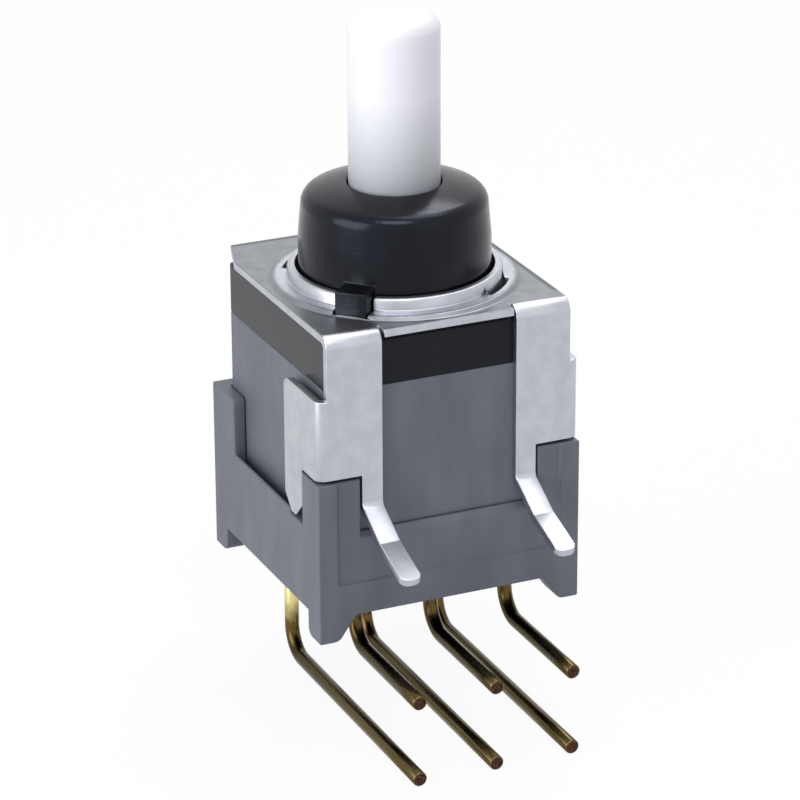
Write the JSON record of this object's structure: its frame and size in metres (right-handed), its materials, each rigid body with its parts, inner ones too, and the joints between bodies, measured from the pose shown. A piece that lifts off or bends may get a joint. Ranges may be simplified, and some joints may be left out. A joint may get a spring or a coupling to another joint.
{
  "type": "right-angle miniature pushbutton switch",
  "caption": "Miniature momentary pushbutton switch: tall round plunger, short black bushing, folded sheet-metal bracket, grey body and right-angle terminals in two rows.",
  "frame": {"origin": "on the plunger axis, level with the top edge of the bracket's collar, where the bushing leaves it", "axes": "+Z along the plunger, towards its tip; -Y towards the circuit board, the way the terminal tips point; +X to the right as seen from the board side"},
  "size_m": [0.0086, 0.0121, 0.0217],
  "materials": {
    "black_nylon": "moulded glass-filled nylon, satin black",
    "white_nylon": "moulded natural nylon, translucent white",
    "grey_plastic": "moulded glass-filled polyester, mid grey",
    "tinned_sheet": "tin-plated phosphor bronze sheet, satin",
    "gold_plate": "gold-plated copper alloy",
    "pin_steel": "ground stainless steel",
    "spring_steel": "drawn stainless spring wire and strip",
    "seal_rubber": "nitrile rubber",
    "potting_resin": "cast epoxy resin",
    "carrier_plastic": "moulded acetal, natural brown grey"
  },
  "bodies": {
    "housing": {"bushing": "black_nylon", "bracket": "tinned_sheet", "case": "grey_plastic", "base": "grey_plastic", "terminal_seal": "potting_resin", "plunger_seal": "seal_rubber", "seal_washer": "black_nylon", "return_spring": "spring_steel", "terminal_front_left": "gold_plate", "terminal_front_centre": "gold_plate", "terminal_front_right": "gold_plate", "terminal_rear_left": "gold_plate", "terminal_rear_centre": "gold_plate", "terminal_rear_right": "gold_plate"},
    "plunger": {"plunger": "white_nylon", "cam_pin": "pin_steel"},
    "carrier": {"contact_carrier": "carrier_plastic", "moving_contact_front": "gold_plate", "moving_contact_rear": "gold_plate", "contact_spring_front": "spring_steel", "contact_spring_rear": "spring_steel"}
  },
  "joints": [
    {"name": "plunger_press", "type": "slide", "parent": "housing", "child": "plunger", "axis": [0, 0, -1], "range_m": [0, 0.0013], "stiffness_N_per_m": 600, "springref_m": -0.0022, "deforming": ["return_spring"]},
    {"name": "carrier_slide", "type": "slide", "parent": "housing", "child": "carrier", "axis": [1, 0, 0], "range_m": [0, 0.0013]}
  ],
  "couplings": [
    {"joint": "carrier_slide", "follows": "plunger_press", "ratio": 1}
  ]
}
